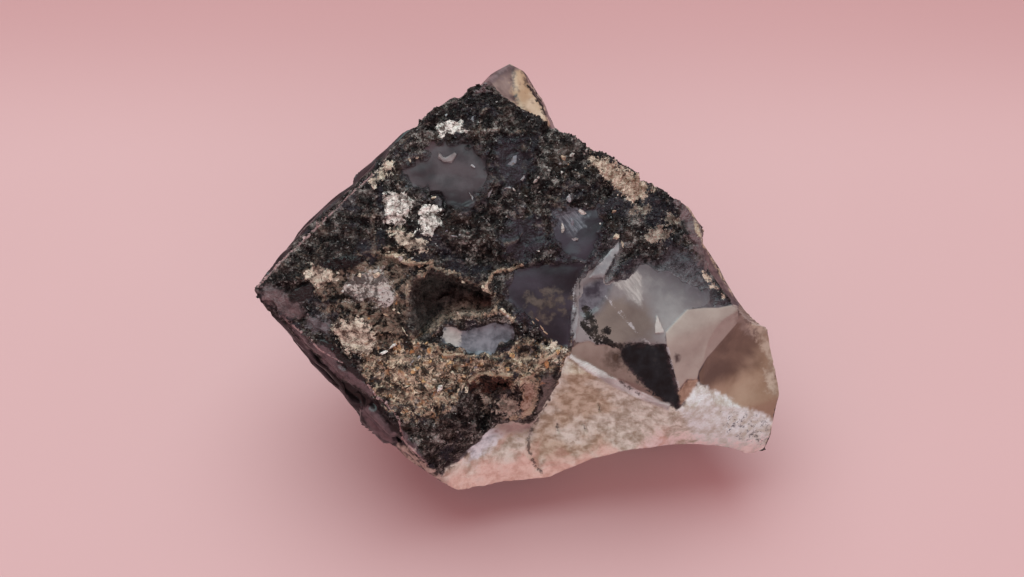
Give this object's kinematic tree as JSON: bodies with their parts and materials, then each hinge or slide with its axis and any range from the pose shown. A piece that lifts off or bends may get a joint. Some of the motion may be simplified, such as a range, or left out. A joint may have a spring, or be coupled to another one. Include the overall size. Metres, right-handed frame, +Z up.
{
  "type": "dendritic opal",
  "caption": "Hand-sized broken lump of dendritic opal with a crumbling dark crust, clear grey windows, a cream underside and a small vug; rests on a flat spot.",
  "frame": {"origin": "centre of the small flat that the lump rests on", "axes": "+X along the lump's longest extent, from the pointed end to the blunt nose; +Z up; the broad crusted face looks up and towards -Y"},
  "size_m": [0.0855, 0.0554, 0.0607],
  "materials": {
    "stone": "dark crumbling crust with glassy grey breaks and a cream rind"
  },
  "bodies": {
    "root": {"dendritic_opal": "stone"}
  },
  "joints": []
}
